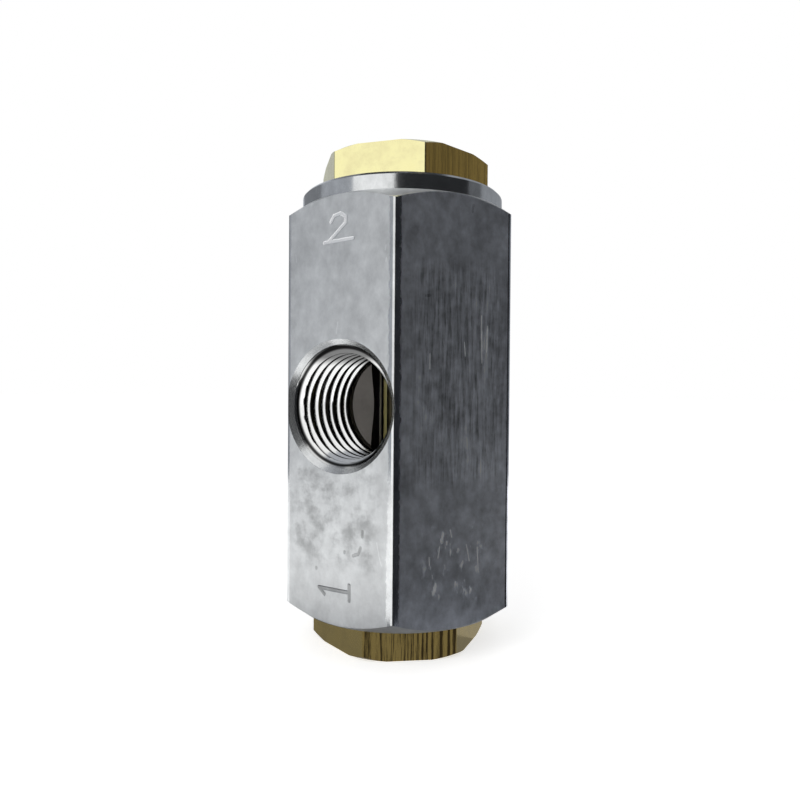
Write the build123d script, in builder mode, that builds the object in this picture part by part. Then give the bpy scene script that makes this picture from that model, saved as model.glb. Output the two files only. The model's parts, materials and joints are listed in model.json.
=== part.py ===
from build123d import *
from math import cos, radians, tan
import os

os.makedirs("parts", exist_ok=True)

# Blowdown valve, normally open, closed by pilot air on a piston.
# Sizes are in millimetres. The valve stands on its inlet fitting: the origin is at the centre
# of that end face, Z runs up the axis and the side port faces -Y. Threads are left plain: an
# inner thread at its root radius and an outer thread at its crest radius.

# Hexagonal body
body_across_flats = 25.4
body_edge_radius = 0.5
turned_end_angle = 36.0
top_face_inset = 0.12
bottom_face_inset = 0.24
collar_inset = 0.45
collar_height = 2.0
collar_chamfer = 0.3

# Side port, a quarter inch taper pipe thread that breaks into the central bore
side_port_radius = 6.85
side_port_countersink = 0.55
side_port_stem_room = 0.1
side_tap_step = 0.9
side_tap_run = 0.7
web_below_port = 2.0
web_above_port = 1.9

# End ports, an eighth inch taper pipe thread in each fitting
end_port_radius = 5.15
end_port_countersink = 0.4
inlet_port_depth = 6.4
end_tap_step = 0.85
end_tap_run = 0.8
drill_point_angle = 118.0

# How both fittings screw in and seal
end_thread_step = 0.94
end_thread_length = 4.9
end_thread_runout = 0.6
end_thread_chamfer = 0.5
end_neck_step = 1.0
end_seal_section = 1.78
end_seal_room = 0.12
hex_seat_land = 0.5
washer_face_height = 0.25
washer_face_inset = 0.15
hex_edge_radius = 0.15
hex_chamfer_angle = 30.0
hex_chamfer_land = 0.35

# Pilot cap, with the turn at which its thread came up tight
cap_hex_height = 4.3
cap_turn = 16.0
cap_web = 1.4
pilot_orifice_radius = 1.25
nut_headroom = 0.4
nut_side_room = 0.6

# Inlet fitting, with its turn and the seat on its inner end
inlet_hex_height = 4.25
inlet_turn = 40.2
nozzle_height = 1.45
orifice_radius = 3.0
seat_lip = 0.6

# Valve disc and its holder
lift = 2.4
disc_past_lip = 0.7
disc_thickness = 2.0
disc_stand = 0.4
holder_wall = 0.7
holder_web = 1.2
holder_chamfer = 0.5
holder_headroom = 1.5

# Screw and washer that clamp the disc
disc_washer_room = 0.6
disc_washer_thickness = 0.5
disc_screw_radius = 1.25
disc_screw_grip = 5.0
disc_screw_head_radius = 1.9
disc_screw_head_height = 1.3
disc_screw_head_round = 0.6
disc_screw_slot_width = 0.6
disc_screw_slot_depth = 0.6
screw_hole_room = 0.6

# Stem, and the gap round it in the central bore
stem_radius = 2.65
stem_passage = 1.05
stem_chamfer = 0.2
stem_shank_radius = 1.5
stem_shank_stand = 0.2

# Piston
crown_thickness = 2.9
skirt_wall = 2.12
skirt_clearance = 0.4
piston_chamfer = 0.2
piston_seal_section = 1.5
piston_seal_side_room = 0.2
guide_ring_width = 2.0
guide_ring_thickness = 0.6
guide_ring_land = 0.7
guide_ring_slit = 0.6
guide_ring_slit_angle = 30.0

# Return spring and its washer
spring_length = 6.3
spring_wire = 0.7
spring_wire_flats = 8
spring_active_turns = 3
spring_bore_step = 0.1
spring_end_start = 0.15
spring_end_pitch = 1.02
spring_washer_thickness = 0.5
spring_washer_radius = 6.0
spring_washer_stem_room = 0.45

# Piston nut and its washer
nut_across_flats = 5.5
nut_height = 1.8
nut_edge_radius = 0.1
nut_washer_radius = 3.3
nut_washer_thickness = 0.5

# Clearances
thread_gap = 0.05
slide_gap = 0.08
seal_gap = 0.05
guide_gap = 0.04
groove_gap = 0.02
moving_gap = 0.3
shut_gap = 0.02
overrun = 1.0

# Radii, from the stem outwards
central_bore_radius = stem_radius + stem_passage
spring_inner_radius = central_bore_radius + spring_bore_step
spring_mean_radius = spring_inner_radius + spring_wire / 2
skirt_inner_radius = spring_inner_radius + spring_wire + moving_gap
piston_radius = skirt_inner_radius + skirt_wall
chamber_radius = piston_radius + slide_gap
end_thread_radius = chamber_radius + end_thread_step
end_neck_radius = end_thread_radius - end_neck_step
end_recess_radius = end_neck_radius + end_seal_section + 2 * groove_gap
end_hex_inradius = end_recess_radius + hex_seat_land
washer_face_radius = end_hex_inradius - washer_face_inset
body_inradius = body_across_flats / 2
body_corner_radius = body_inradius / cos(radians(30))
collar_radius = body_inradius - collar_inset
disc_radius = orifice_radius + seat_lip + disc_past_lip
holder_radius = disc_radius + holder_wall
disc_washer_radius = orifice_radius - disc_washer_room
nut_recess_radius = nut_washer_radius + nut_side_room

# Levels, from the base upwards, with the valve open
end_recess_depth = end_seal_section + end_seal_room
body_bottom = inlet_hex_height
lower_recess_floor = body_bottom + end_recess_depth
fitting_top = lower_recess_floor + end_thread_length
lower_thread_end = fitting_top + end_thread_runout
seat_level = fitting_top + nozzle_height
disc_face = seat_level + shut_gap + lift
disc_back = disc_face + disc_thickness
holder_top = disc_back + holder_web
lower_chamber_top = holder_top + holder_headroom
port_level = lower_chamber_top + web_below_port + side_port_radius
piston_floor = port_level + side_port_radius + web_above_port
spring_foot = piston_floor + spring_washer_thickness
crown_bottom = spring_foot + spring_length
piston_top = crown_bottom + crown_thickness
upper_thread_end = piston_top - end_thread_runout
upper_recess_floor = piston_top + end_thread_length
collar_top = upper_recess_floor + end_recess_depth
hex_top = collar_top - collar_height
valve_top = collar_top + cap_hex_height
skirt_bottom = spring_foot + lift + skirt_clearance
nut_seat = piston_top + nut_washer_thickness
shank_top = nut_seat + nut_height + stem_shank_stand
nut_recess_top = nut_seat + nut_height + nut_headroom

drill_point_slope = tan(radians(drill_point_angle / 2))
turned_end_slope = tan(radians(turned_end_angle))
hex_chamfer_slope = tan(radians(hex_chamfer_angle))
port_axis = Axis((0, 0, port_level), (0, -1, 0))
port_plane = Plane(origin=(0, 0, port_level), x_dir=(0, -1, 0), z_dir=(1, 0, 0))


# Body: hexagonal bar, both ends turned to a cone and the top to a round collar
turning_radius = body_corner_radius + overrun
top_face_radius = body_inradius - top_face_inset
bottom_face_radius = body_inradius - bottom_face_inset
side_drill_radius = side_port_radius - side_tap_step
side_port_thread_end = stem_radius + side_port_stem_room
side_drill_end = side_port_thread_end - side_tap_run
side_drill_point = side_drill_end - side_drill_radius / drill_point_slope
side_rim_radius = side_port_radius + side_port_countersink
tapped_radius = end_thread_radius + thread_gap

with BuildPart() as body:
    with BuildSketch(Plane.XY.offset(body_bottom)) as bar:
        RegularPolygon(radius=body_inradius, side_count=6, major_radius=False)
        fillet(bar.vertices(), radius=body_edge_radius)
    extrude(amount=collar_top - body_bottom)
    with BuildSketch(Plane.XZ):
        with BuildLine():
            Polyline(
                (0, body_bottom),
                (bottom_face_radius, body_bottom),
                (turning_radius, body_bottom + (turning_radius - bottom_face_radius) * turned_end_slope),
                (turning_radius, hex_top - (turning_radius - top_face_radius) * turned_end_slope),
                (top_face_radius, hex_top),
                (collar_radius, hex_top),
                (collar_radius, collar_top - collar_chamfer),
                (collar_radius - collar_chamfer, collar_top),
                (0, collar_top),
                close=True,
            )
        make_face()
    revolve(axis=Axis.Z, mode=Mode.INTERSECT)
    # Stepped bore, right through from end to end
    with BuildSketch(Plane.XZ):
        with BuildLine():
            Polyline(
                (0, body_bottom),
                (end_recess_radius, body_bottom),
                (end_recess_radius, lower_recess_floor),
                (tapped_radius, lower_recess_floor),
                (tapped_radius, lower_thread_end),
                (chamber_radius, lower_thread_end),
                (chamber_radius, lower_chamber_top),
                (central_bore_radius, lower_chamber_top),
                (central_bore_radius, piston_floor),
                (chamber_radius, piston_floor),
                (chamber_radius, upper_thread_end),
                (tapped_radius, upper_thread_end),
                (tapped_radius, upper_recess_floor),
                (end_recess_radius, upper_recess_floor),
                (end_recess_radius, collar_top),
                (0, collar_top),
                close=True,
            )
        make_face()
    revolve(axis=Axis.Z, mode=Mode.SUBTRACT)
    # Side port: countersink, tapped wall, tap drill and its point
    with BuildSketch(port_plane):
        with BuildLine():
            Polyline(
                (side_drill_point, 0),
                (side_drill_end, side_drill_radius),
                (side_port_thread_end, side_drill_radius),
                (side_port_thread_end, side_port_radius),
                (body_inradius - side_port_countersink, side_port_radius),
                (body_inradius, side_rim_radius),
                (body_inradius + overrun, side_rim_radius),
                (body_inradius + overrun, 0),
                close=True,
            )
        make_face()
    revolve(axis=port_axis, mode=Mode.SUBTRACT)
body.part.label = "body"
export_step(body.part, "parts/body.step")


# Pilot cap: hexagon over a washer face, neck and thread, with the pilot port down to an orifice
end_corner_radius = end_hex_inradius / cos(radians(30))
hex_end_radius = end_hex_inradius + hex_chamfer_land
hex_chamfer_drop = (end_corner_radius - hex_end_radius) * hex_chamfer_slope
end_drill_radius = end_port_radius - end_tap_step
cap_hex_foot = collar_top + washer_face_height
cap_drill_bottom = nut_recess_top + cap_web
cap_port_bottom = cap_drill_bottom + end_tap_run

with BuildPart() as pilot_cap:
    with BuildSketch(Plane.XY.offset(cap_hex_foot)) as cap_hexagon:
        RegularPolygon(
            radius=end_hex_inradius, side_count=6, major_radius=False, rotation=cap_turn
        )
        fillet(cap_hexagon.vertices(), radius=hex_edge_radius)
    extrude(amount=valve_top - cap_hex_foot)
    with BuildSketch(Plane.XZ):
        with BuildLine():
            Polyline(
                (0, cap_hex_foot),
                (end_corner_radius, cap_hex_foot),
                (end_corner_radius, valve_top - hex_chamfer_drop),
                (hex_end_radius, valve_top),
                (0, valve_top),
                close=True,
            )
        make_face()
    revolve(axis=Axis.Z, mode=Mode.INTERSECT)
    with BuildSketch(Plane.XZ):
        with BuildLine():
            Polyline(
                (0, piston_top),
                (end_thread_radius - end_thread_chamfer, piston_top),
                (end_thread_radius, piston_top + end_thread_chamfer),
                (end_thread_radius, upper_recess_floor),
                (end_neck_radius, upper_recess_floor),
                (end_neck_radius, collar_top),
                (washer_face_radius, collar_top),
                (washer_face_radius, cap_hex_foot),
                (0, cap_hex_foot),
                close=True,
            )
        make_face()
    revolve(axis=Axis.Z)
    with BuildSketch(Plane.XZ):
        with BuildLine():
            Polyline(
                (0, piston_top),
                (nut_recess_radius, piston_top),
                (nut_recess_radius, nut_recess_top),
                (pilot_orifice_radius, nut_recess_top),
                (pilot_orifice_radius, cap_drill_bottom),
                (end_drill_radius, cap_drill_bottom),
                (end_drill_radius, cap_port_bottom),
                (end_port_radius, cap_port_bottom),
                (end_port_radius, valve_top - end_port_countersink),
                (end_port_radius + end_port_countersink, valve_top),
                (0, valve_top),
                close=True,
            )
        make_face()
    revolve(axis=Axis.Z, mode=Mode.SUBTRACT)
pilot_cap.part.label = "pilot_cap"
export_step(pilot_cap.part, "parts/pilot_cap.step")


# Inlet fitting: hexagon under a washer face, neck and thread, with the seat on its inner end
seat_outer_radius = orifice_radius + seat_lip
nozzle_foot_radius = seat_outer_radius + nozzle_height
inlet_hex_top = body_bottom - washer_face_height
inlet_drill_top = inlet_port_depth + end_tap_run
inlet_cone_top = inlet_drill_top + (end_drill_radius - orifice_radius) / drill_point_slope

with BuildPart() as inlet_fitting:
    with BuildSketch(Plane.XY) as inlet_hexagon:
        RegularPolygon(
            radius=end_hex_inradius, side_count=6, major_radius=False, rotation=inlet_turn
        )
        fillet(inlet_hexagon.vertices(), radius=hex_edge_radius)
    extrude(amount=inlet_hex_top)
    with BuildSketch(Plane.XZ):
        with BuildLine():
            Polyline(
                (0, 0),
                (hex_end_radius, 0),
                (end_corner_radius, hex_chamfer_drop),
                (end_corner_radius, inlet_hex_top),
                (0, inlet_hex_top),
                close=True,
            )
        make_face()
    revolve(axis=Axis.Z, mode=Mode.INTERSECT)
    with BuildSketch(Plane.XZ):
        with BuildLine():
            Polyline(
                (0, inlet_hex_top),
                (washer_face_radius, inlet_hex_top),
                (washer_face_radius, body_bottom),
                (end_neck_radius, body_bottom),
                (end_neck_radius, lower_recess_floor),
                (end_thread_radius, lower_recess_floor),
                (end_thread_radius, fitting_top - end_thread_chamfer),
                (end_thread_radius - end_thread_chamfer, fitting_top),
                (nozzle_foot_radius, fitting_top),
                (seat_outer_radius, seat_level),
                (0, seat_level),
                close=True,
            )
        make_face()
    revolve(axis=Axis.Z)
    with BuildSketch(Plane.XZ):
        with BuildLine():
            Polyline(
                (0, 0),
                (end_port_radius + end_port_countersink, 0),
                (end_port_radius, end_port_countersink),
                (end_port_radius, inlet_port_depth),
                (end_drill_radius, inlet_port_depth),
                (end_drill_radius, inlet_drill_top),
                (orifice_radius, inlet_cone_top),
                (orifice_radius, seat_level),
                (0, seat_level),
                close=True,
            )
        make_face()
    revolve(axis=Axis.Z, mode=Mode.SUBTRACT)
inlet_fitting.part.label = "inlet_fitting"
export_step(inlet_fitting.part, "parts/inlet_fitting.step")


# End seals: an O-ring round each neck, against the hexagon's seat
end_seal_radius = end_neck_radius + groove_gap + end_seal_section / 2

with BuildPart() as pilot_cap_seal:
    with BuildSketch(Plane.XZ):
        with Locations((end_seal_radius, collar_top - end_seal_section / 2)):
            Circle(end_seal_section / 2)
    revolve(axis=Axis.Z)
pilot_cap_seal.part.label = "pilot_cap_seal"
export_step(pilot_cap_seal.part, "parts/pilot_cap_seal.step")

with BuildPart() as inlet_fitting_seal:
    with BuildSketch(Plane.XZ):
        with Locations((end_seal_radius, body_bottom + end_seal_section / 2)):
            Circle(end_seal_section / 2)
    revolve(axis=Axis.Z)
inlet_fitting_seal.part.label = "inlet_fitting_seal"
export_step(inlet_fitting_seal.part, "parts/inlet_fitting_seal.step")


# Piston: crown with the seal groove, and a skirt with the guide ring's groove round the spring
shank_hole_radius = stem_shank_radius + thread_gap
seal_groove_radius = chamber_radius - seal_gap - piston_seal_section - groove_gap
seal_groove_width = piston_seal_section + 2 * piston_seal_side_room
seal_groove_bottom = crown_bottom + (crown_thickness - seal_groove_width) / 2
seal_groove_top = seal_groove_bottom + seal_groove_width
guide_ring_radius = chamber_radius - guide_gap
guide_groove_radius = guide_ring_radius - guide_ring_thickness - groove_gap
guide_groove_bottom = skirt_bottom + guide_ring_land
guide_groove_top = guide_groove_bottom + guide_ring_width + groove_gap

with BuildPart() as piston:
    with BuildSketch(Plane.XZ):
        with BuildLine():
            Polyline(
                (shank_hole_radius, crown_bottom),
                (skirt_inner_radius, crown_bottom),
                (skirt_inner_radius, skirt_bottom),
                (piston_radius - piston_chamfer, skirt_bottom),
                (piston_radius, skirt_bottom + piston_chamfer),
                (piston_radius, guide_groove_bottom),
                (guide_groove_radius, guide_groove_bottom),
                (guide_groove_radius, guide_groove_top),
                (piston_radius, guide_groove_top),
                (piston_radius, seal_groove_bottom),
                (seal_groove_radius, seal_groove_bottom),
                (seal_groove_radius, seal_groove_top),
                (piston_radius, seal_groove_top),
                (piston_radius, piston_top - piston_chamfer),
                (piston_radius - piston_chamfer, piston_top),
                (shank_hole_radius, piston_top),
                close=True,
            )
        make_face()
    revolve(axis=Axis.Z)
piston.part.label = "piston"
export_step(piston.part, "parts/piston.step")

with BuildPart() as piston_seal:
    with BuildSketch(Plane.XZ):
        seal_centre = chamber_radius - seal_gap - piston_seal_section / 2
        with Locations((seal_centre, seal_groove_bottom + piston_seal_section / 2)):
            Circle(piston_seal_section / 2)
    revolve(axis=Axis.Z)
piston_seal.part.label = "piston_seal"
export_step(piston_seal.part, "parts/piston_seal.step")

# The guide ring is cut through at a slant, so that it opens to go over the skirt
with BuildPart() as piston_guide_ring:
    with BuildSketch(Plane.XY.offset(guide_groove_bottom)):
        Circle(guide_ring_radius)
        Circle(guide_ring_radius - guide_ring_thickness, mode=Mode.SUBTRACT)
    extrude(amount=guide_ring_width)
    with BuildSketch(Plane.XZ.offset(-guide_ring_radius - overrun)):
        with Locations((0, guide_groove_bottom + guide_ring_width / 2)):
            Rectangle(guide_ring_slit, 2 * guide_ring_width, rotation=guide_ring_slit_angle)
    extrude(amount=guide_ring_radius, mode=Mode.SUBTRACT)
piston_guide_ring.part.label = "piston_guide_ring"
export_step(piston_guide_ring.part, "parts/piston_guide_ring.step")


# Piston nut and washer
with BuildPart() as piston_nut_washer:
    with BuildSketch(Plane.XY.offset(piston_top)):
        Circle(nut_washer_radius)
        Circle(shank_hole_radius, mode=Mode.SUBTRACT)
    extrude(amount=nut_washer_thickness)
piston_nut_washer.part.label = "piston_nut_washer"
export_step(piston_nut_washer.part, "parts/piston_nut_washer.step")

nut_corner_radius = nut_across_flats / 2 / cos(radians(30))
nut_chamfer_drop = (nut_corner_radius - nut_across_flats / 2) * hex_chamfer_slope

with BuildPart() as piston_nut:
    with BuildSketch(Plane.XY.offset(nut_seat)) as nut_hexagon:
        RegularPolygon(radius=nut_across_flats / 2, side_count=6, major_radius=False)
        fillet(nut_hexagon.vertices(), radius=nut_edge_radius)
        Circle(shank_hole_radius, mode=Mode.SUBTRACT)
    extrude(amount=nut_height)
    with BuildSketch(Plane.XZ):
        with BuildLine():
            Polyline(
                (0, nut_seat),
                (nut_corner_radius, nut_seat),
                (nut_corner_radius, nut_seat + nut_height - nut_chamfer_drop),
                (nut_across_flats / 2, nut_seat + nut_height),
                (0, nut_seat + nut_height),
                close=True,
            )
        make_face()
    revolve(axis=Axis.Z, mode=Mode.INTERSECT)
piston_nut.part.label = "piston_nut"
export_step(piston_nut.part, "parts/piston_nut.step")


# Stem: its shoulder carries the piston's crown, its lower end is drilled for the disc's screw
screw_hole_radius = disc_screw_radius + thread_gap
screw_hole_top = holder_top + disc_screw_grip + screw_hole_room
screw_hole_point = screw_hole_top + screw_hole_radius / drill_point_slope

with BuildPart() as stem:
    with BuildSketch(Plane.XZ):
        with BuildLine():
            Polyline(
                (screw_hole_radius, holder_top),
                (stem_radius - stem_chamfer, holder_top),
                (stem_radius, holder_top + stem_chamfer),
                (stem_radius, crown_bottom),
                (stem_shank_radius, crown_bottom),
                (stem_shank_radius, shank_top - stem_chamfer),
                (stem_shank_radius - stem_chamfer, shank_top),
                (0, shank_top),
                (0, screw_hole_point),
                (screw_hole_radius, screw_hole_top),
                close=True,
            )
        make_face()
    revolve(axis=Axis.Z)
stem.part.label = "stem"
export_step(stem.part, "parts/stem.step")


# Disc holder, rubber disc, and the washer and screw that clamp them to the stem
holder_rim = disc_face + disc_stand

with BuildPart() as disc_holder:
    with BuildSketch(Plane.XZ):
        with BuildLine():
            Polyline(
                (screw_hole_radius, disc_back),
                (disc_radius, disc_back),
                (disc_radius, holder_rim),
                (holder_radius, holder_rim),
                (holder_radius, holder_top - holder_chamfer),
                (holder_radius - holder_chamfer, holder_top),
                (screw_hole_radius, holder_top),
                close=True,
            )
        make_face()
    revolve(axis=Axis.Z)
disc_holder.part.label = "disc_holder"
export_step(disc_holder.part, "parts/disc_holder.step")

with BuildPart() as seat_disc:
    with BuildSketch(Plane.XY.offset(disc_face)):
        Circle(disc_radius - groove_gap)
        Circle(screw_hole_radius, mode=Mode.SUBTRACT)
    extrude(amount=disc_thickness)
seat_disc.part.label = "seat_disc"
export_step(seat_disc.part, "parts/seat_disc.step")

disc_washer_bottom = disc_face - disc_washer_thickness

with BuildPart() as disc_washer:
    with BuildSketch(Plane.XY.offset(disc_washer_bottom)):
        Circle(disc_washer_radius)
        Circle(screw_hole_radius, mode=Mode.SUBTRACT)
    extrude(amount=disc_washer_thickness)
disc_washer.part.label = "disc_washer"
export_step(disc_washer.part, "parts/disc_washer.step")

screw_head_bottom = disc_washer_bottom - disc_screw_head_height
screw_tip = holder_top + disc_screw_grip

with BuildPart() as disc_screw:
    with BuildSketch(Plane.XZ) as screw_half:
        with BuildLine():
            Polyline(
                (0, screw_head_bottom),
                (disc_screw_head_radius, screw_head_bottom),
                (disc_screw_head_radius, disc_washer_bottom),
                (disc_screw_radius, disc_washer_bottom),
                (disc_screw_radius, screw_tip - stem_chamfer),
                (disc_screw_radius - stem_chamfer, screw_tip),
                (0, screw_tip),
                close=True,
            )
        make_face()
        rim_corner = screw_half.vertices().group_by(Axis.Y)[0].sort_by(Axis.X)[-1]
        fillet(rim_corner, radius=disc_screw_head_round)
    revolve(axis=Axis.Z)
    with BuildSketch(Plane.XY.offset(screw_head_bottom)):
        Rectangle(2 * disc_screw_head_radius, disc_screw_slot_width)
    extrude(amount=disc_screw_slot_depth, mode=Mode.SUBTRACT)
disc_screw.part.label = "disc_screw"
export_step(disc_screw.part, "parts/disc_screw.step")


# Spring washer
with BuildPart() as spring_washer:
    with BuildSketch(Plane.XY.offset(piston_floor)):
        Circle(spring_washer_radius)
        Circle(stem_radius + spring_washer_stem_room, mode=Mode.SUBTRACT)
    extrude(amount=spring_washer_thickness)
spring_washer.part.label = "spring_washer"
export_step(spring_washer.part, "parts/spring_washer.step")


# Return spring: a closed turn at each end, ground flat, and open turns between them. Its round
# wire is drawn with eight flats, which keeps the coils light to mesh.
end_turn_rise = spring_end_pitch * spring_wire
end_turn_start = spring_end_start * spring_wire
open_turns_start = spring_foot + end_turn_start + end_turn_rise
open_turns_rise = spring_length - 2 * (end_turn_start + end_turn_rise)
open_turn_pitch = open_turns_rise / spring_active_turns
coil_stretches = [
    (spring_foot + end_turn_start, end_turn_rise, end_turn_rise),
    (open_turns_start, open_turn_pitch, open_turns_rise),
    (open_turns_start + open_turns_rise, end_turn_rise, end_turn_rise),
]

with BuildPart() as return_spring:
    for start_level, pitch, rise in coil_stretches:
        with BuildLine() as coil_line:
            Helix(pitch=pitch, height=rise, radius=spring_mean_radius, center=(0, 0, start_level))
        with BuildSketch(Plane.XZ):
            with Locations((spring_mean_radius, start_level)):
                RegularPolygon(
                    radius=spring_wire / 2,
                    side_count=spring_wire_flats,
                    rotation=180 / spring_wire_flats,
                )
        sweep(path=coil_line.wire(), is_frenet=True)
    with BuildSketch(Plane.XY.offset(spring_foot)):
        Circle(skirt_inner_radius)
    extrude(amount=spring_length, mode=Mode.INTERSECT)
return_spring.part.label = "return_spring"
export_step(return_spring.part, "parts/return_spring.step")
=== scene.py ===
import json
from math import cos, floor, pi, radians, sin

import bmesh
import bpy
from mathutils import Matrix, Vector


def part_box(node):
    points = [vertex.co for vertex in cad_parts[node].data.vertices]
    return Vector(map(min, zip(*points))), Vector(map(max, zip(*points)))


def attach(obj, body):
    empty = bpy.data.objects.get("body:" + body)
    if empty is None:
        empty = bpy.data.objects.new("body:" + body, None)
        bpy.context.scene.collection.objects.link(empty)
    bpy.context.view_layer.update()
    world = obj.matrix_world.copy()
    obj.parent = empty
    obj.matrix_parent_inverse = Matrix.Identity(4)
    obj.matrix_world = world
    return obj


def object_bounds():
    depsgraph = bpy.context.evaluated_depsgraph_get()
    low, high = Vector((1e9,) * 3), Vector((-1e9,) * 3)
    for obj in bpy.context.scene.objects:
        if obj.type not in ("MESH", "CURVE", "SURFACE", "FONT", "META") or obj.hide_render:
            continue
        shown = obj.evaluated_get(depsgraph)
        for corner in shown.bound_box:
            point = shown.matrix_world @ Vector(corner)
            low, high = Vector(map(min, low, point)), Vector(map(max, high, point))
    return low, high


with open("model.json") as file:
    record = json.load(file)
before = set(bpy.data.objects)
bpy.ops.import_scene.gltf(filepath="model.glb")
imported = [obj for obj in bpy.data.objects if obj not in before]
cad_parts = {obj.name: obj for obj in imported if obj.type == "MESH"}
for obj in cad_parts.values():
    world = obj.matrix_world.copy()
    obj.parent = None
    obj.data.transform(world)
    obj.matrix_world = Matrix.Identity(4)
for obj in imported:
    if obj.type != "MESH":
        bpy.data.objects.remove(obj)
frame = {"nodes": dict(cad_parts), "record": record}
cad_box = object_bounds()

# Blowdown valve. Lengths are in metres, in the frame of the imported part: Z runs up the axis
# from the inlet fitting's outer face, and the side port faces -Y. Azimuths are in degrees,
# counted from the side port towards +X.
MM = 0.001
inch = 25.4 * MM
up = (0, 0, 1)

# The body: its flats, its collar, its bore, and how far from the axis its corners turn bright
body_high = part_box("body")[1]
collar_height = 2.0 * MM
hex_top = body_high.z - collar_height
flat_distance = body_high.y
flat_skin = 0.05 * MM
bore_reach = 7.5 * MM
port_flat_azimuth = 0
side_flat_azimuth = 60
front_corner_azimuth = 30
front_corner_ragged = 0.4 * MM
front_corner_rub = (14.42 * MM, 14.58 * MM)
corner_rub = (14.42 * MM, 14.5 * MM)

# The ports and their taper pipe threads. A crest is the radius to which a thread is cut.
ports = {mount["name"]: mount for mount in frame["record"]["mounts"]}
side_threads_per_inch = 18
end_threads_per_inch = 27
side_crest = 5.9 * MM
end_crest = 4.45 * MM
side_start_turn = 0.815
end_start_turn = 0.0
sharp_thread_height = 0.866
thread_root_cut = 0.04
pipe_taper = 1 / 32
mouth_run = 0.35 * MM
mouth_flank_slope = 1.8
countersink_width = 0.57 * MM

# Fineness of the threaded sleeves, and their clearances
thread_columns = 144
thread_samples = 24
liner_gap = 0.005 * MM
liner_recess = 4 * liner_gap
weld_distance = liner_gap / 50
sharp_edge_angle = 35.0

# Painted shade in a thread. Each pair says where a painted shade starts and ends: below the
# port's wall for the roots, below its mouth for the lead-in, where the root shade is lighter,
# above a crest for its flat, and above the axis of a level port for its upper wall, painted
# darker.
root_shade_depths = (0.62 * MM, 0.38 * MM)
lead_in_depths = (0.26 * MM, 0.14 * MM)
lead_in_tone = 0.75
crest_flat_heights = (0.01 * MM, 0.03 * MM)
upper_shade_heights = (4.4 * MM, 5.6 * MM)
upper_shade_tone = 0.22

# Cosines between which a face of the brass starts to count as one of its scuffed flats
scuffed_facing = (0.95, 0.98)

# Colours of the body, with painted shade in its bore and a painted cool reflection tint on its
# side flat, of the brass's wear, and of the stem, painted dark as painted shade
bar_colour = (0.72, 0.735, 0.74)
bore_shade_colour = (0.19, 0.178, 0.165)
side_flat_reflection_tint = (0.62, 0.66, 0.78)
tarnish_colour = (0.42, 0.28, 0.10)
film_colour = (0.98, 0.62, 0.13)
scuff_colour = (0.10, 0.065, 0.025)
stem_shade_dark = (0.03, 0.025, 0.015)
stem_shade_light = (0.10, 0.085, 0.05)

# Stamped port numbers and wear, in millimetres across and up a flat. The side port's flat has
# the numbers of both end ports: a one that lies on its side, and a two.
stamp_width = 0.5
stamp_depth = 0.05 * MM
lying_one = (((-1.75, 7.6), (-2.5, 8.26), (1.6, 8.31)), ((1.69, 9.1), (1.7, 7.4)))
upright_two = (
    ((-1.1, 48.7), (-0.7, 49.3), (0.2, 49.5), (0.9, 49.1), (0.9, 48.4), (-1.5, 46.5)),
    ((-2.0, 46.5), (1.9, 46.6)),
)
dent_width = 0.45
dents = (
    ((1.02, 12.68), (1.02, 12.62)),
    ((3.2, 13.4), (2.9, 12.7), (2.2, 12.4)),
    ((3.45, 15.2), (3.4, 14.6)),
    ((-2.9, 10.4), (-2.9, 10.3)),
)
scratch_width = 0.16
port_flat_scratches = (
    ((5.3, 14.2), (5.6, 12.8), (5.9, 11.9)),
    ((6.2, 45.4), (6.1, 44.9)),
    ((6.25, 44.1), (6.2, 43.7)),
    ((-6.2, 45.6), (-6.1, 44.8)),
    ((-0.1, 37.7), (-0.3, 36.4)),
)
side_flat_pits = (((-3.6, 40.3), (-3.2, 40.4)), ((2.2, 50.6), (2.1, 49.9)))
side_flat_scratches = (
    ((-3.1, 34.2), (-3.1, 32.6)),
    ((1.2, 35.6), (1.35, 34.1)),
    ((3.4, 38.6), (3.5, 33.4)),
    ((4.2, 37.5), (4.15, 34.6)),
    ((-3.0, 12.5), (-2.95, 11.6)),
    ((-1.7, 13.5), (-1.9, 12.3)),
    ((1.7, 13.4), (2.1, 11.6)),
    ((-0.4, 15.2), (-0.2, 14.4)),
    ((3.1, 13.0), (3.3, 10.2)),
)

# Painted highlights: bright lines down the stem: from and to, in metres towards +X, and a colour
stem_highlight_edge = 0.12 * MM
stem_highlights = (
    (-2.4 * MM, -1.5 * MM, (0.95, 0.90, 0.74)),
    (-0.85 * MM, -0.4 * MM, (0.95, 0.86, 0.40)),
)

# The camera. Dip, pan and roll are degrees away from a level view at the axis.
camera_azimuth = 32.8
camera_distance = 84.27 * MM
camera_height = 30.23 * MM
camera_lens = 30.31
camera_sensor = 36.0
camera_near = 5 * MM
camera_dip = 0.77
camera_pan = 0.08
camera_roll = -0.45

# The floor, and the world's light where it is seen and elsewhere
floor_reach = 3.0
floor_tone = 0.8
floor_glow = 0.62
seen_light = 1.0
fill_light = 0.5

# Studio cards that only reflections see. A card's profile is a list of distances from the
# axis and heights, and it goes round from one azimuth to another, as the camera sees them.
card_floor_gap = 0.02 * MM
card_distance = 160 * MM
card_height = 330 * MM
card_steps = 24
card_tint = (0.96, 1.0, 1.08)
foot_inner = 1 * MM
foot_outer = 28 * MM
ceiling_inner = 60 * MM
foot_card = ((foot_inner, card_floor_gap), (foot_outer, card_floor_gap))
standing_card = ((card_distance, card_floor_gap), (card_distance, card_height))
bent_card = ((foot_outer, card_floor_gap), *standing_card)
ceiling_card = ((ceiling_inner, card_height), (card_height, card_height))


def heading(azimuth):
    """The level direction at an azimuth."""
    return Vector((sin(radians(azimuth)), -cos(radians(azimuth)), 0))


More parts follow.
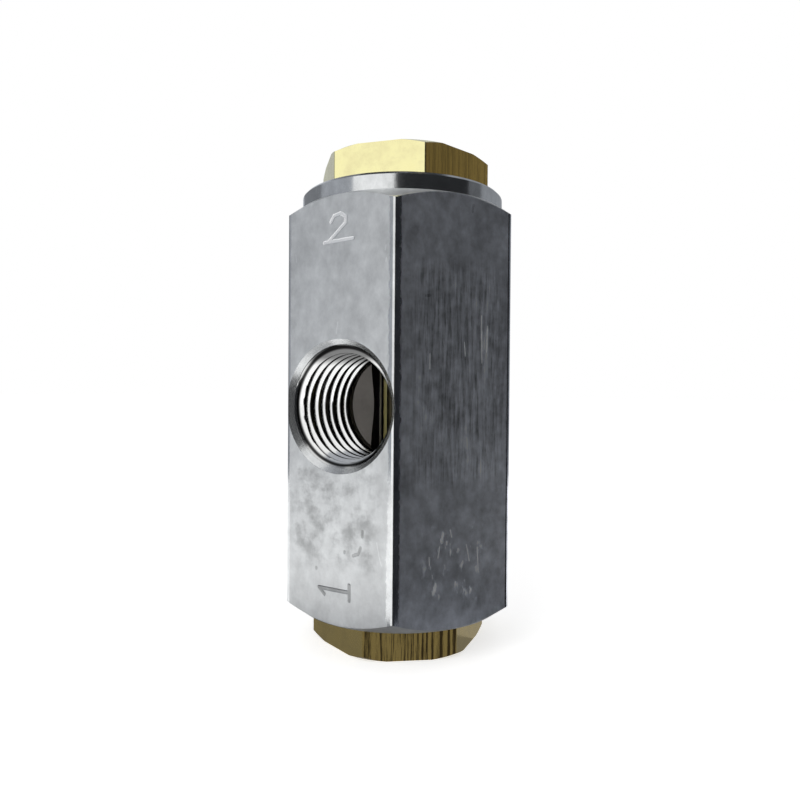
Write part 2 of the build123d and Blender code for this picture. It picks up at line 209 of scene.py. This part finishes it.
# Mesh pieces
def mesh_piece(name, shape, material):
    """A new object from a bmesh, with its sharp edges kept."""
    data = bpy.data.meshes.new(name)
    shape.to_mesh(data)
    shape.free()
    data.materials.append(material)
    piece = bpy.data.objects.new(name, data)
    bpy.context.scene.collection.objects.link(piece)
    data.shade_smooth()
    data.set_sharp_from_angle(angle=radians(sharp_edge_angle))
    return piece


def port_frame(port):
    """The port's foot, outward axis, two directions square to it, and its wall's two ends."""
    outward = Vector(port["axis"])
    middle = Vector(port["pos_m"])
    across = Vector((1, 0, 0))
    upward = outward.cross(across)
    half = port["dims"]["length_mm"] * MM / 2
    along = middle.dot(outward)
    foot = middle - outward * along
    return foot, outward, across, upward, along - half, along + half


def mouth_radius(skin, depth):
    """Radius of the tap's lead-in: a countersink, then the outer flank of the first thread."""
    past_countersink = max(depth - mouth_run, 0)
    return skin - min(depth, mouth_run) - past_countersink * mouth_flank_slope


def thread_radius(turn, pitch, root, crest):
    """Radius of a sixty degree thread at a place in its turn, cut flat at root and crest."""
    from_crest = abs(turn - floor(turn) - 0.5) * 2
    sharp = root + (thread_root_cut - sharp_thread_height * (1 - from_crest)) * pitch
    return min(root, max(crest, sharp))


def wall_faces(shape, grid):
    """Joins the columns of a threaded wall. In one turn their rows move on by one pitch."""
    for column, line in enumerate(grid):
        last = column == len(grid) - 1
        following = grid[0][thread_samples:] if last else grid[column + 1]
        for row in range(len(following) - 1):
            shape.faces.new((line[row], following[row], following[row + 1], line[row + 1]))


def sleeve_faces(shape, grid, back, front):
    """Joins the threaded wall's two ends to the sleeve's plain back."""
    for column in range(len(grid)):
        following = (column + 1) % len(grid)
        shape.faces.new((back[column], front[column], front[following], back[following]))
        shape.faces.new((grid[column][0], back[column], back[following], grid[following][0]))
        shape.faces.new((grid[column][-1], grid[following][-1], front[following], front[column]))


def weld(shape):
    """Joins points that meet, and turns the faces outwards."""
    bmesh.ops.remove_doubles(shape, verts=shape.verts[:], dist=weld_distance)
    bmesh.ops.dissolve_degenerate(shape, edges=shape.edges[:], dist=weld_distance)
    bmesh.ops.recalc_face_normals(shape, faces=shape.faces[:])


def thread_liner(name, port, pitch, crest, start_turn, material):
    """The cut thread of one port: a thin threaded sleeve that lines the port's plain wall."""
    foot, outward, across, upward, inner, outer = port_frame(port)
    skin = port["dims"]["r_mm"] * MM - liner_gap
    outer_end = outer - liner_recess

    def surface_radius(along, angle):
        root = skin - liner_gap - (outer - along) * pipe_taper
        turn = start_turn + along / pitch - angle / (2 * pi)
        threaded = thread_radius(turn, pitch, root, crest)
        return min(max(threaded, mouth_radius(skin, outer - along)), skin - liner_gap)

    def point(along, radius, angle):
        return foot + outward * along + (across * cos(angle) + upward * sin(angle)) * radius

    shape = bmesh.new()
    start = inner - pitch
    turns = (outer_end - start) / pitch + 1
    rows = int(turns * thread_samples) + 2
    angles = [2 * pi * column / thread_columns for column in range(thread_columns)]
    grid = []
    for column, angle in enumerate(angles):
        line = []
        for row in range(rows):
            along = start + (row / thread_samples + column / thread_columns) * pitch
            along = min(max(along, inner), outer_end)
            line.append(shape.verts.new(point(along, surface_radius(along, angle), angle)))
        grid.append(line)
    wall_faces(shape, grid)
    back = []
    front = []
    for angle in angles:
        back.append(shape.verts.new(point(inner, skin, angle)))
        front.append(shape.verts.new(point(outer_end, skin, angle)))
    sleeve_faces(shape, grid, back, front)
    weld(shape)
    piece = mesh_piece(name, shape, material)
    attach(piece, "housing")
    return piece


# Node helpers
def new_material(name):
    material = bpy.data.materials.new(name)
    material.use_nodes = True
    material.node_tree.nodes.clear()
    return material, material.node_tree


def node(tree, kind, inputs=None, **settings):
    """Adds a node. An input is another node's socket, which is linked, or a plain value."""
    made = tree.nodes.new(kind)
    for key, value in settings.items():
        setattr(made, key, value)
    for key, value in (inputs or {}).items():
        if isinstance(value, bpy.types.NodeSocket):
            tree.links.new(value, made.inputs[key])
        else:
            made.inputs[key].default_value = value
    return made


def maths(tree, operation, first, second=0.0, third=0.0, clamp=False):
    made = node(
        tree,
        "ShaderNodeMath",
        {0: first, 1: second, 2: third},
        operation=operation,
        use_clamp=clamp,
    )
    return made.outputs[0]


def product(tree, first, *others):
    for other in others:
        first = maths(tree, "MULTIPLY", first, other)
    return first


def together(tree, highest, *others):
    """The highest of several masks."""
    for other in others:
        highest = maths(tree, "MAXIMUM", highest, other)
    return highest


def without(tree, mask):
    """One where the mask is zero, and zero where it is one."""
    return maths(tree, "SUBTRACT", 1.0, mask)


def map_range(tree, value, low, high, to_low=0.0, to_high=1.0, smooth=False):
    made = node(
        tree,
        "ShaderNodeMapRange",
        {"Value": value, "From Min": low, "From Max": high, "To Min": to_low, "To Max": to_high},
        interpolation_type="SMOOTHSTEP" if smooth else "LINEAR",
    )
    return made.outputs["Result"]


def object_place(tree):
    """Object coordinates, which are metres in the part's frame."""
    return node(tree, "ShaderNodeTexCoord").outputs["Object"]


def coordinates(tree, vector):
    """The three coordinates of a vector, one by one."""
    return node(tree, "ShaderNodeSeparateXYZ", {0: vector}).outputs


def vector_maths(tree, operation, first, second=(0, 0, 0), output=0):
    made = node(tree, "ShaderNodeVectorMath", {0: first, 1: second}, operation=operation)
    return made.outputs[output]


def dot(tree, first, second):
    return vector_maths(tree, "DOT_PRODUCT", first, second, output=1)


def length(tree, vector):
    return vector_maths(tree, "LENGTH", vector, output=1)


def window(tree, value, low, high, soft):
    """One between two limits, falling softly to zero outside them."""
    rise = map_range(tree, value, low - soft, low, smooth=True)
    fall = map_range(tree, value, high, high + soft, 1.0, 0.0, smooth=True)
    return product(tree, rise, fall)


def patch(tree, spot, low, high, soft):
    """One inside a soft-edged box on a flat, whose corners are in millimetres."""
    sides = [
        window(tree, value, start * MM, end * MM, soft * MM)
        for value, start, end in zip(coordinates(tree, spot), low, high)
    ]
    return product(tree, *sides)


def stroke(tree, spot, start, end, width):
    """One on a straight stroke across a flat, whose ends and width are in millimetres."""
    first = Vector((*start, 0)) * MM
    run = Vector((*end, 0)) * MM - first
    from_first = vector_maths(tree, "SUBTRACT", spot, first)
    share = maths(
        tree, "MULTIPLY", dot(tree, from_first, run), 1 / run.length_squared, clamp=True
    )
    along = node(
        tree, "ShaderNodeVectorMath", {0: run, "Scale": share}, operation="SCALE"
    ).outputs[0]
    distance = length(tree, vector_maths(tree, "SUBTRACT", from_first, along))
    return map_range(tree, distance, width * MM / 4, width * MM / 2, 1.0, 0.0, smooth=True)


def strokes(tree, spot, outlines, width):
    """One on the strokes that join each outline's places on a flat."""
    return together(tree, *[
        stroke(tree, spot, start, end, width)
        for outline in outlines
        for start, end in zip(outline, outline[1:])
    ])


def flat_place(tree, place, azimuth):
    """The place across and up the body's flat at an azimuth, and one on that flat alone."""
    across = dot(tree, place, heading(azimuth + 90))
    height = dot(tree, place, up)
    spot = node(tree, "ShaderNodeCombineXYZ", {0: across, 1: height}).outputs[0]
    outward = dot(tree, place, heading(azimuth))
    return spot, maths(tree, "GREATER_THAN", outward, flat_distance - flat_skin)


def port_place(tree, place, port):
    """The place counted from the middle of a port's wall, and its distance from the axis."""
    from_middle = vector_maths(tree, "SUBTRACT", place, Vector(port["pos_m"]))
    aside = vector_maths(tree, "CROSS_PRODUCT", from_middle, Vector(port["axis"]))
    return from_middle, length(tree, aside)


def stretched_noise(tree, place, stretch, scale, detail=3.0, roughness=0.6, offset=(0, 0, 0)):
    """Noise whose grain is drawn out along the axes where stretch is small."""
    mapped = node(
        tree, "ShaderNodeMapping", {"Vector": place, "Scale": stretch, "Location": offset}
    ).outputs[0]
    made = node(
        tree,
        "ShaderNodeTexNoise",
        {"Vector": mapped, "Scale": scale, "Detail": detail, "Roughness": roughness},
    )
    return made.outputs["Fac"]


def mix_colour(tree, factor, first, second, blend="MIX"):
    """Mixes two colours. The node has a factor at 0, the colours at 6 and 7, the result at 2."""
    made = node(tree, "ShaderNodeMix", {0: factor}, data_type="RGBA", blend_type=blend)
    for key, value in ((6, first), (7, second)):
        if isinstance(value, bpy.types.NodeSocket):
            tree.links.new(value, made.inputs[key])
        else:
            made.inputs[key].default_value = (*value, 1.0)
    return made.outputs[2]


def shaded(tree, colour, tone):
    """A colour times a tone."""
    grey = node(tree, "ShaderNodeCombineColor", {0: tone, 1: tone, 2: tone}).outputs[0]
    return mix_colour(tree, 1.0, colour, grey, blend="MULTIPLY")


def bump(tree, height, distance, normal=None):
    inputs = {"Height": height, "Distance": distance}
    if normal is not None:
        inputs["Normal"] = normal
    return node(tree, "ShaderNodeBump", inputs).outputs["Normal"]


def surface(tree, colour, roughness, normal, metallic=1.0):
    """Ends a material in one glossy shader, of metal unless metallic says otherwise."""
    shader = node(
        tree,
        "ShaderNodeBsdfPrincipled",
        {"Base Color": colour, "Roughness": roughness, "Normal": normal, "Metallic": metallic},
    )
    node(tree, "ShaderNodeOutputMaterial", {"Surface": shader.outputs[0]})


def seen_rays(tree):
    """One for the rays of the camera, of reflections and of what is seen through glass."""
    rays = node(tree, "ShaderNodeLightPath").outputs
    through = maths(tree, "ADD", rays["Is Glossy Ray"], rays["Is Transmission Ray"])
    return maths(tree, "ADD", rays["Is Camera Ray"], through, clamp=True)


# The aluminium body
def port_flat_wear(tree, place):
    """Masks of what marks the side port's flat: stamped numbers, dents, scratches, smudges."""
    spot, on_flat = flat_place(tree, place, port_flat_azimuth)
    clouds = stretched_noise(tree, spot, (1, 1, 1), scale=420, detail=5, offset=(2, 5, 0))
    handled = patch(tree, spot, (-5.0, 12.5), (3.8, 21.0), soft=3.0)
    masks = {
        "one": strokes(tree, spot, lying_one, stamp_width),
        "two": strokes(tree, spot, upright_two, stamp_width),
        "dents": strokes(tree, spot, dents, dent_width),
        "scratches": strokes(tree, spot, port_flat_scratches, scratch_width),
        "smudges": product(tree, handled, map_range(tree, clouds, 0.40, 0.68, smooth=True)),
    }
    return {name: product(tree, mask, on_flat) for name, mask in masks.items()}


def side_flat_wear(tree, place):
    """Masks of the next flat's scuffs, which go below zero too, pits and bright scratches."""
    spot, on_flat = flat_place(tree, place, side_flat_azimuth)
    rubbed_and_highlit = patch(tree, spot, (-3.4, 22.0), (4.6, 42.0), soft=3.5)
    lines = stretched_noise(tree, place, (1, 1, 0.08), scale=2300, detail=5, roughness=0.7)
    chafed = patch(tree, spot, (-2.5, 8.5), (3.0, 14.5), soft=2.0)
    specks = stretched_noise(tree, place, (1, 1, 0.4), scale=1400, detail=3, offset=(3, 1, 4))
    chafing = product(tree, chafed, map_range(tree, specks, 0.56, 0.68, smooth=True))
    scratches = strokes(tree, spot, side_flat_scratches, scratch_width)
    masks = {
        "scuffs": product(tree, rubbed_and_highlit, maths(tree, "SUBTRACT", 0.52, lines)),
        "pits": strokes(tree, spot, side_flat_pits, dent_width),
        "bright": together(tree, chafing, scratches),
    }
    wear = {name: product(tree, mask, on_flat) for name, mask in masks.items()}
    return wear, on_flat


def countersink(tree, place, inside):
    """One on the side port's countersink."""
    port = ports["side_port"]
    from_middle, radius = port_place(tree, place, port)
    near = maths(tree, "LESS_THAN", radius, port["dims"]["r_mm"] * MM + countersink_width)
    outer = maths(tree, "GREATER_THAN", dot(tree, from_middle, Vector(port["axis"])), 0.0)
    return product(tree, near, outer, without(tree, inside))


def rubbed_corners(tree, place, from_axis, blotch):
    """One on the body's corners, and raggedly on the corner that faces the camera."""
    everywhere = map_range(tree, from_axis, *corner_rub, smooth=True)
    forward = dot(tree, place, heading(front_corner_azimuth))
    ragged = maths(tree, "MULTIPLY_ADD", blotch, front_corner_ragged, forward)
    return together(tree, everywhere, map_range(tree, ragged, *front_corner_rub, smooth=True))


def aluminium_colour(tree, inside, on_side_flat, uneven_masks, changes):
    """The bar's colour, uneven all over and changed where it is worn, with painted shade in the
    bore and a painted cool reflection tint on the side flat.
    """
    uneven = map_range(tree, on_side_flat, 0.0, 1.0, 0.5, 1.1)
    tone = 1.0
    for mask in uneven_masks:
        tone = maths(tree, "MULTIPLY_ADD", maths(tree, "SUBTRACT", mask, 0.5), uneven, tone)
    for mask, change in changes:
        tone = maths(tree, "MULTIPLY_ADD", mask, change, tone)
    # Painted shade: the inside of the bore is painted dark.
    base = mix_colour(tree, inside, bar_colour, bore_shade_colour)
    # Painted reflection: a cool tint is painted on the side flat alone.
    base = mix_colour(tree, product(tree, on_side_flat, 0.5), base, side_flat_reflection_tint)
    return shaded(tree, base, tone)


def aluminium_gloss(tree, blotch, rings, smooth_part, bright):
    """Satin on the drawn bar, rougher in bright scratches, and polished where it is smooth."""
    satin = maths(tree, "MULTIPLY_ADD", blotch, 0.14, 0.36)
    satin = maths(tree, "MULTIPLY_ADD", bright, 0.2, satin)
    polish = maths(tree, "MULTIPLY_ADD", rings, 0.08, 0.1)
    return node(tree, "ShaderNodeMix", {0: smooth_part, 2: satin, 3: polish}).outputs[0]


def aluminium_relief(tree, grain, rings, mottle, collar, pressed):
    """Lines of drawing and, on the collar, of turning, a slight waviness, and pressed marks."""
    drawn = product(tree, grain, without(tree, collar))
    turned = product(tree, rings, collar)
    normal = bump(tree, maths(tree, "ADD", drawn, turned), 0.003 * MM)
    normal = bump(tree, mottle, 0.02 * MM, normal=normal)
    return bump(tree, without(tree, pressed), stamp_depth, normal=normal)


def drawn_aluminium():
    """Satin drawn bar with a polished turned collar, edges worn to a polish and the wear of use,
    with painted shade in its bore, a painted cool reflection tint on its side flat, and stamped
    numbers painted lighter and darker.
    """
    material, tree = new_material("drawn_aluminium")
    place = object_place(tree)
    grain = stretched_noise(tree, place, (1, 1, 0.02), scale=5000)
    mottle = stretched_noise(tree, place, (1, 1, 0.6), scale=260, detail=5)
    blotch = stretched_noise(tree, place, (1, 1, 0.8), scale=900, detail=4)
    rings = stretched_noise(tree, place, (0, 0, 1), scale=9000, detail=2)

    from_axis = length(tree, vector_maths(tree, "MULTIPLY", place, (1, 1, 0)))
    collar = maths(tree, "GREATER_THAN", coordinates(tree, place)["Z"], hex_top)
    inside = maths(tree, "LESS_THAN", from_axis, bore_reach)
    mouth = product(tree, countersink(tree, place, inside), 0.75)
    corners = rubbed_corners(tree, place, from_axis, blotch)
    smooth_part = together(tree, collar, corners, mouth)
    wear = port_flat_wear(tree, place)
    side_wear, on_side_flat = side_flat_wear(tree, place)
    hollows = together(tree, wear["dents"], side_wear["pits"])

    changes = (
        (side_wear["scuffs"], -2.6),
        (wear["smudges"], -0.38),
        (hollows, -0.3),
        # Painted highlight and painted shade: the stamped two is painted lighter, the lying one
        # darker.
        (wear["one"], -0.45),
        (wear["two"], 0.4),
        (wear["scratches"], 0.15),
        (side_wear["bright"], 0.7),
    )
    base = aluminium_colour(tree, inside, on_side_flat, (mottle, blotch), changes)
    rough = aluminium_gloss(tree, blotch, rings, smooth_part, side_wear["bright"])
    pressed = together(tree, wear["one"], wear["two"], product(tree, hollows, 0.4))
    normal = aluminium_relief(tree, grain, rings, mottle, collar, pressed)
    bare = map_range(tree, smooth_part, 0, 1, 0.92, 1.0)
    bare = maths(tree, "MULTIPLY_ADD", mouth, -0.1, bare)
    surface(tree, base, rough, normal, metallic=bare)
    return material


# The other materials
def cut_thread(name, port, crest, light, dark, root_shade_tone):
    """Bright cut metal in a port, with painted shade in the thread's roots, along its flat crests,
    and on a level port's upper wall.
    """
    material, tree = new_material(name)
    place = object_place(tree)
    from_middle, radius = port_place(tree, place, port)
    along = dot(tree, from_middle, Vector(port["axis"]))
    above = dot(tree, from_middle, up)
    wall = port["dims"]["r_mm"] * MM
    half = port["dims"]["length_mm"] * MM / 2
    lines = stretched_noise(tree, place, (1, 1, 1), scale=2500)

    below_wall = [wall - depth for depth in root_shade_depths]
    below_mouth = [half - depth for depth in lead_in_depths]
    above_crest = [crest + height for height in crest_flat_heights]
    # Painted shade: the thread's roots and flat crests are painted darker, less so in the lead-in.
    roots = map_range(tree, radius, *below_wall, 1.0, root_shade_tone, smooth=True)
    lead_in = map_range(tree, along, *below_mouth, 0.0, lead_in_tone)
    flats = map_range(tree, radius, *above_crest, root_shade_tone)
    tone = product(tree, together(tree, roots, lead_in), flats)
    # Painted shade: a level port's wall is painted darker towards its top.
    if port["axis"][2] == 0:
        stain_and_shade = map_range(tree, above, *upper_shade_heights, 1.0, upper_shade_tone, smooth=True)
        tone = product(tree, tone, stain_and_shade)
    base = shaded(tree, mix_colour(tree, lines, dark, light), tone)
    rough = maths(tree, "MULTIPLY_ADD", lines, 0.1, 0.1)
    surface(tree, base, rough, bump(tree, lines, 0.003 * MM))
    return material


def machined_brass(name, pale, deep, tarnish=0.15, scuffed_azimuth=None, film=0.0, scuffs=0.0):
    """Brass bar with lines along its flats. One pair of flats may have a brown film and scuffs."""
    material, tree = new_material(name)
    place = object_place(tree)
    streaks = stretched_noise(tree, place, (1, 1, 0.03), scale=2600, detail=5, roughness=0.75)
    mottle = stretched_noise(tree, place, (1, 1, 1), scale=420, detail=4)
    base = mix_colour(tree, mottle, deep, pale)
    stain_and_shade = product(tree, map_range(tree, mottle, 0.4, 0.7, smooth=True), tarnish)
    base = mix_colour(tree, stain_and_shade, base, tarnish_colour)
    if scuffed_azimuth is not None:
        normal = node(tree, "ShaderNodeTexCoord").outputs["Normal"]
        facing = maths(tree, "ABSOLUTE", dot(tree, normal, heading(scuffed_azimuth)))
        scuffed = map_range(tree, facing, *scuffed_facing)
        lines = map_range(tree, streaks, 0.44, 0.56, smooth=True)
        base = mix_colour(tree, product(tree, scuffed, film), base, film_colour)
        dark = product(tree, scuffed, product(tree, lines, scuffs))
        base = mix_colour(tree, dark, base, scuff_colour)
    rough = maths(tree, "MULTIPLY_ADD", streaks, 0.16, 0.12)
    surface(tree, base, rough, bump(tree, streaks, 0.006 * MM))
    return material


def stem_brass():
    """Brass rod painted dark as painted shade, with two painted highlights: bright lines along the
    side that the port shows.
    """
    material, tree = new_material("stem_brass")
    place = object_place(tree)
    split = coordinates(tree, place)
    streaks = stretched_noise(tree, place, (1, 1, 0.03), scale=2400, detail=4)
    facing = maths(tree, "LESS_THAN", split["Y"], 0.0)
    # Painted shade: the stem is painted almost black.
    base = mix_colour(tree, streaks, stem_shade_dark, stem_shade_light)
    rubbed_and_highlit = 0.0
    # Painted highlights: bright lines on the side that the port shows.
    for low, high, colour in stem_highlights:
        line = product(tree, facing, window(tree, split["X"], low, high, stem_highlight_edge))
        base = mix_colour(tree, line, base, colour)
        rubbed_and_highlit = maths(tree, "MAXIMUM", line, rubbed_and_highlit)
    rough = map_range(tree, rubbed_and_highlit, 0.0, 1.0, 0.2, 0.55)
    surface(tree, base, rough, bump(tree, streaks, 0.004 * MM))
    return material


def mottled(name, colour, shine, scale, detail, darker, relief, metallic):
    """A material with a faint unevenness in its tone, its gloss and its skin."""
    material, tree = new_material(name)
    mottle = stretched_noise(tree, object_place(tree), (1, 1, 1), scale, detail)
    base = mix_colour(tree, mottle, tuple(darker * channel for channel in colour), colour)
    rough = maths(tree, "MULTIPLY_ADD", mottle, 0.15, shine)
    surface(tree, base, rough, bump(tree, mottle, relief), metallic)
    return material


def plated_steel(name, colour, shine):
    """Plated or drawn steel."""
    return mottled(name, colour, shine, 1500, 3, darker=0.85, relief=0.003 * MM, metallic=1.0)


def moulded(name, colour, shine):
    """Rubber or plastic out of a mould."""
    return mottled(name, colour, shine, 1200, 4, darker=0.8, relief=0.01 * MM, metallic=0.0)


def dress(nodes, material):
    """Gives CAD nodes their material."""
    for name in nodes:
        data = frame["nodes"][name].data
        data.materials.clear()
        data.materials.append(material)


# The studio
def floor_piece():
    """A wide white floor that still takes the valve's shadow."""
    material, tree = new_material("floor_white")
    glow_strength = product(tree, seen_rays(tree), floor_glow)
    matte_colour = (floor_tone, floor_tone, floor_tone, 1)
    matte = node(tree, "ShaderNodeBsdfDiffuse", {"Color": matte_colour})
    glow = node(tree, "ShaderNodeEmission", {"Strength": glow_strength})
    both = node(tree, "ShaderNodeAddShader", {0: matte.outputs[0], 1: glow.outputs[0]})
    node(tree, "ShaderNodeOutputMaterial", {"Surface": both.outputs[0]})
    shape = bmesh.new()
    bmesh.ops.create_grid(shape, x_segments=1, y_segments=1, size=floor_reach)
    piece = mesh_piece("studio_floor", shape, material)
    return piece


def studio_world():
    """White where it is seen or mirrored, and a plain level of light elsewhere."""
    world = bpy.data.worlds.new("studio")
    world.use_nodes = True
    bpy.context.scene.world = world
    tree = world.node_tree
    tree.nodes.clear()
    strength = map_range(tree, seen_rays(tree), 0.0, 1.0, fill_light, seen_light)
    background = node(
        tree, "ShaderNodeBackground", {"Color": (1, 1, 1, 1), "Strength": strength}
    )
    node(tree, "ShaderNodeOutputWorld", {"Surface": background.outputs[0]})


def reflection_card(name, first, last, profile, level):
    """A glowing card, from one azimuth to another beside the camera's, that only gloss shows."""
    material, tree = new_material(name)
    glow = node(tree, "ShaderNodeEmission", {"Color": (*card_tint, 1), "Strength": level})
    node(tree, "ShaderNodeOutputMaterial", {"Surface": glow.outputs[0]})
    shape = bmesh.new()
    lines = []
    for step in range(card_steps + 1):
        outward = heading(camera_azimuth + first + (last - first) * step / card_steps)
        lines.append([
            shape.verts.new(outward * reach + Vector((0, 0, height)))
            for reach, height in profile
        ])
    for near, far in zip(lines, lines[1:]):
        for row in range(len(profile) - 1):
            shape.faces.new((near[row], far[row], far[row + 1], near[row + 1]))
    piece = mesh_piece(name, shape, material)
    piece.visible_camera = False
    piece.visible_diffuse = False
    piece.visible_shadow = False
    piece.visible_transmission = False
    piece.visible_volume_scatter = False
    return piece


def soft_lamp(name, azimuth, height, distance, size, power):
    """A square soft box that faces the valve."""
    data = bpy.data.lights.new(name, "AREA")
    data.shape = "SQUARE"
    data.size = size
    data.energy = power
    lamp = bpy.data.objects.new(name, data)
    bpy.context.scene.collection.objects.link(lamp)
    lamp.visible_glossy = False
    lamp.location = heading(azimuth) * distance + Vector((0, 0, height))
    aim = Vector((0, 0, (cad_box[0].z + cad_box[1].z) / 2)) - lamp.location
    lamp.rotation_euler = aim.to_track_quat("-Z", "Y").to_euler()


def photo_camera():
    """The camera at the photograph's viewpoint."""
    data = bpy.data.cameras.new("camera")
    data.lens = camera_lens
    data.sensor_width = camera_sensor
    data.clip_start = camera_near
    camera = bpy.data.objects.new("camera", data)
    bpy.context.scene.collection.objects.link(camera)
    camera.location = heading(camera_azimuth) * camera_distance + Vector((0, 0, camera_height))
    camera.rotation_euler = (
        radians(90 - camera_dip),
        radians(camera_roll),
        radians(camera_azimuth + camera_pan),
    )
    bpy.context.scene.camera = camera


# The valve's materials
dress(["body"], drawn_aluminium())
dress(["pilot_cap"], machined_brass(
    "cap_brass",
    pale=(0.98, 0.94, 0.56),
    deep=(0.94, 0.87, 0.42),
    tarnish=0.2,
    scuffed_azimuth=76.0,
    film=0.85,
    scuffs=0.35,
))
dress(["inlet_fitting"], machined_brass(
    "fitting_brass",
    pale=(0.90, 0.72, 0.31),
    deep=(0.80, 0.58, 0.19),
    tarnish=0.3,
    scuffed_azimuth=40.2,
    film=0.3,
    scuffs=0.95,
))
dress(["stem"], stem_brass())
dress(
    ["piston", "disc_holder"],
    machined_brass("inner_brass", pale=(0.88, 0.80, 0.42), deep=(0.80, 0.70, 0.33)),
)
dress(
    ["pilot_cap_seal", "inlet_fitting_seal", "piston_seal", "seat_disc"],
    moulded("seal_rubber", (0.03, 0.03, 0.03), shine=0.5),
)
dress(["piston_guide_ring"], moulded("guide_plastic", (0.85, 0.84, 0.80), shine=0.4))
dress(
    ["piston_nut", "piston_nut_washer", "disc_washer", "disc_screw", "spring_washer"],
    plated_steel("plated_steel", (0.55, 0.56, 0.58), shine=0.25),
)
dress(["return_spring"], plated_steel("spring_wire", (0.42, 0.42, 0.44), shine=0.2))

# The threads of its ports
side_metal = cut_thread(
    "side_thread",
    ports["side_port"],
    side_crest,
    light=(0.93, 0.935, 0.93),
    dark=(0.78, 0.785, 0.78),
    root_shade_tone=0.04,
)
thread_liner(
    "side_port_thread",
    ports["side_port"],
    pitch=inch / side_threads_per_inch,
    crest=side_crest,
    start_turn=side_start_turn,
    material=side_metal,
)
for port_name in ("inlet_port", "pilot_port"):
    end_metal = cut_thread(
        port_name + "_brass",
        ports[port_name],
        end_crest,
        light=(0.88, 0.80, 0.42),
        dark=(0.78, 0.66, 0.30),
        root_shade_tone=0.5,
    )
    thread_liner(
        port_name + "_thread",
        ports[port_name],
        pitch=inch / end_threads_per_inch,
        crest=end_crest,
        start_turn=end_start_turn,
        material=end_metal,
    )

# The floor, the world, the cards in order round the valve, the lamp and the camera
floor_piece()
studio_world()
for card, first, last, profile, level in (
    ("left_back_card", -195.0, -150.0, standing_card, 0.55),
    ("left_far_card", -150.0, -100.0, standing_card, 0.22),
    ("left_near_card", -100.0, -54.0, standing_card, 0.40),
    ("dark_card", -8.0, 76.0, bent_card, 0.025),
    ("right_near_card", 76.0, 95.0, standing_card, 0.13),
    ("right_far_card", 95.0, 165.0, standing_card, 0.30),
    ("ceiling_dark_card", 110.0, 250.0, ceiling_card, 0.04),
    ("foot_left_card", -150.0, 76.0, foot_card, 0.19),
    ("foot_right_card", 76.0, 165.0, foot_card, 0.32),
):
    reflection_card(card, first, last, profile, level)
soft_lamp("soft_box", azimuth=0.0, height=0.45, distance=0.6, size=0.4, power=1.6)
photo_camera()

scene = bpy.context.scene
scene.view_settings.view_transform = "Standard"
